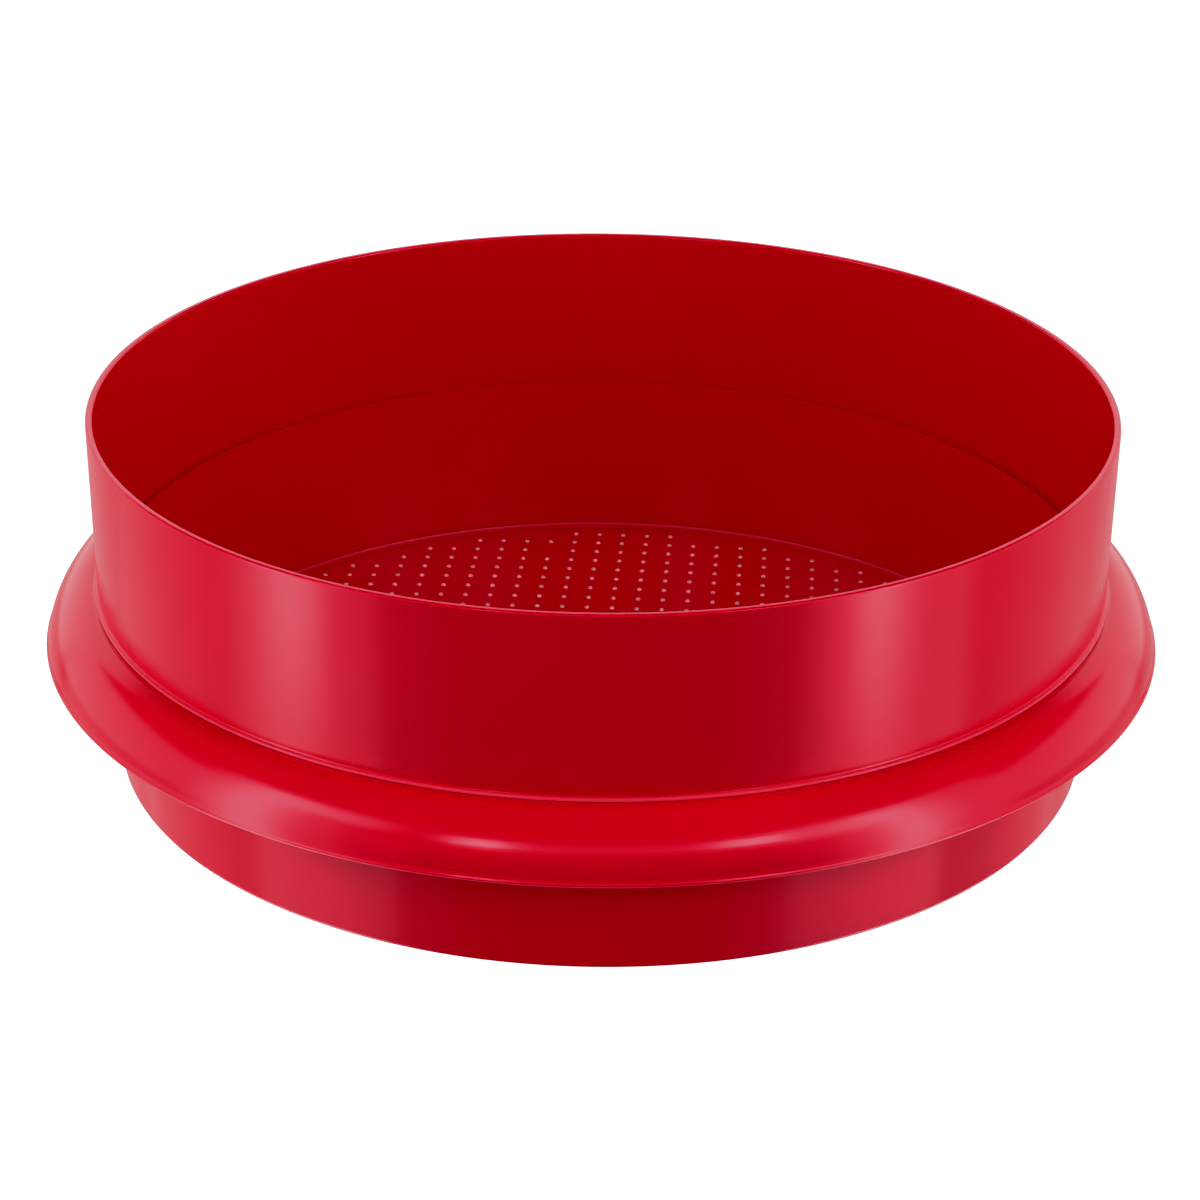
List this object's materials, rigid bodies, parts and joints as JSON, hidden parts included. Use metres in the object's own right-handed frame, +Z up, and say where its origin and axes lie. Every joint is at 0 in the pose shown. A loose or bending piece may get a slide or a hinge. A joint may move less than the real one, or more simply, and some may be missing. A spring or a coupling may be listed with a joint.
{
  "type": "flour sifter",
  "caption": "Round red plastic flour sifter: a tall plug-in collar over a bulging grip ring, a lower ring and a finely perforated, slightly domed sieve disc.",
  "frame": {"origin": "centre of the foot, on the surface that the sifter stands on", "axes": "+Z up along the axis of all the rings; the sifter looks the same from every side, and the rows of holes in the disc run nearly along X and Y"},
  "size_m": [0.2202, 0.2202, 0.0708],
  "materials": {
    "shell_plastic": "semi-gloss red moulded polypropylene, smooth",
    "disc_plastic": "thin red polypropylene sheet, satin, with pale stress-whitened edges round the punched holes"
  },
  "bodies": {
    "sieve_ring": {"sieve_ring": "shell_plastic"},
    "grip_ring": {"grip_ring": "shell_plastic"},
    "collar": {"collar": "shell_plastic"},
    "sieve_disc": {"sieve_disc": "disc_plastic"},
    "disc_hoop": {"disc_hoop": "shell_plastic"}
  },
  "joints": [
    {"name": "grip_lift", "type": "slide", "parent": "sieve_ring", "child": "grip_ring", "axis": [0, 0, 1], "range_m": [0, 0.045]},
    {"name": "collar_lift", "type": "slide", "parent": "grip_ring", "child": "collar", "axis": [0, 0, 1], "range_m": [0, 0.04]},
    {"name": "disc_lift", "type": "slide", "parent": "sieve_ring", "child": "sieve_disc", "axis": [0, 0, 1], "range_m": [0, 0.08]},
    {"name": "hoop_lift", "type": "slide", "parent": "sieve_disc", "child": "disc_hoop", "axis": [0, 0, 1], "range_m": [0, 0.02]}
  ]
}
